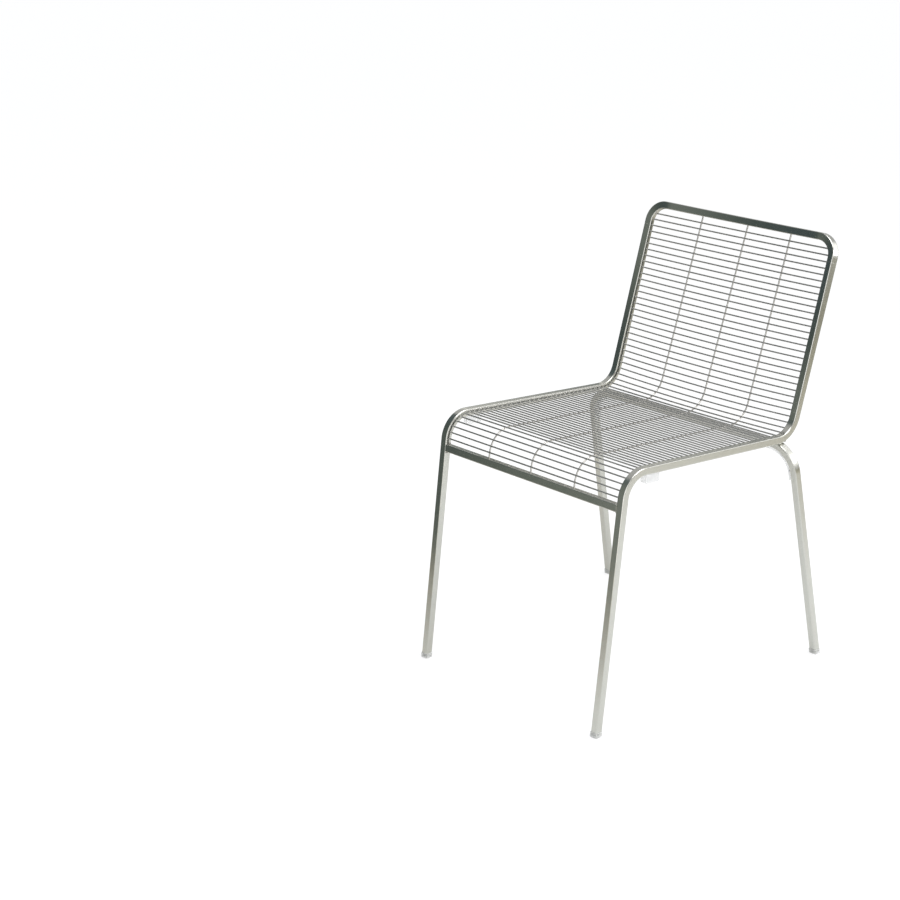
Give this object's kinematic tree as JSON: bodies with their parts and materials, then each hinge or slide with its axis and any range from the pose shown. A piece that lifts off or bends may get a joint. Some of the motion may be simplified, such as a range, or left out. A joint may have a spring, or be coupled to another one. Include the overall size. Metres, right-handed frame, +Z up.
{
  "type": "outdoor chair",
  "caption": "Stacking outdoor chair of welded square steel tube, with a continuous seat and back of thin cross rods, a rear leg hoop and plastic foot glides.",
  "frame": {"origin": "centre of the bounding box at floor level, under the four foot glides", "axes": "X is the width of the chair and its symmetry normal, the sitter faces -Y, Z is up"},
  "size_m": [0.5546, 0.6484, 0.7996],
  "materials": {
    "tube_steel": "satin",
    "rod_steel": "satin",
    "weld_steel": "satin",
    "rivet_steel": "satin",
    "clear_plastic": "translucent"
  },
  "bodies": {
    "root": {"side_tube_right": "tube_steel", "side_tube_left": "tube_steel", "top_rail": "tube_steel", "front_crossbar": "tube_steel", "rear_leg_hoop": "tube_steel", "edge_wire_right": "rod_steel", "edge_wire_left": "rod_steel", "long_wire_right": "rod_steel", "long_wire_centre": "rod_steel", "long_wire_left": "rod_steel", "front_bend_rods": "rod_steel", "seat_rods": "rod_steel", "rear_bend_rods": "rod_steel", "back_rods": "rod_steel", "edge_wire_tacks": "weld_steel", "hoop_welds": "weld_steel", "crossbar_welds": "weld_steel", "stacking_block_right": "clear_plastic", "stacking_block_left": "clear_plastic", "rear_protector_right": "clear_plastic", "rear_protector_left": "clear_plastic", "protector_rivets": "rivet_steel", "foot_glide_front_right": "clear_plastic", "foot_glide_front_left": "clear_plastic", "foot_glide_rear_right": "clear_plastic", "foot_glide_rear_left": "clear_plastic"}
  },
  "joints": []
}
